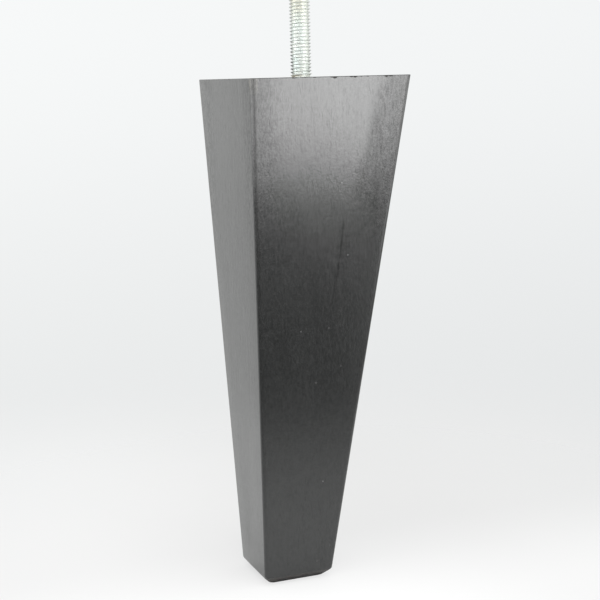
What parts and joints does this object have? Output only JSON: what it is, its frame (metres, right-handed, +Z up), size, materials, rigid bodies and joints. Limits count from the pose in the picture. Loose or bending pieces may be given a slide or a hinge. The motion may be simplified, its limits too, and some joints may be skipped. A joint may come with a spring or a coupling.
{
  "type": "wooden furniture foot",
  "caption": "Square wooden furniture foot, upright on its outer faces and tapered on its inner ones, with a bevelled sole and a threaded stud in the top.",
  "frame": {"origin": "on the axis of the hanger bolt, at the level of the sole, which is the floor", "axes": "+Z up along the hanger bolt, from the sole to the seating face; the upright faces look along -X and -Y, and the tapered ones along +X and +Y"},
  "size_m": [0.062, 0.062, 0.22],
  "materials": {
    "lacquered_wood": "near-black stain under satin lacquer",
    "zinc_plated_steel": "bright zinc plating"
  },
  "bodies": {
    "root": {"leg_block": "lacquered_wood", "hanger_bolt": "zinc_plated_steel"}
  },
  "joints": []
}
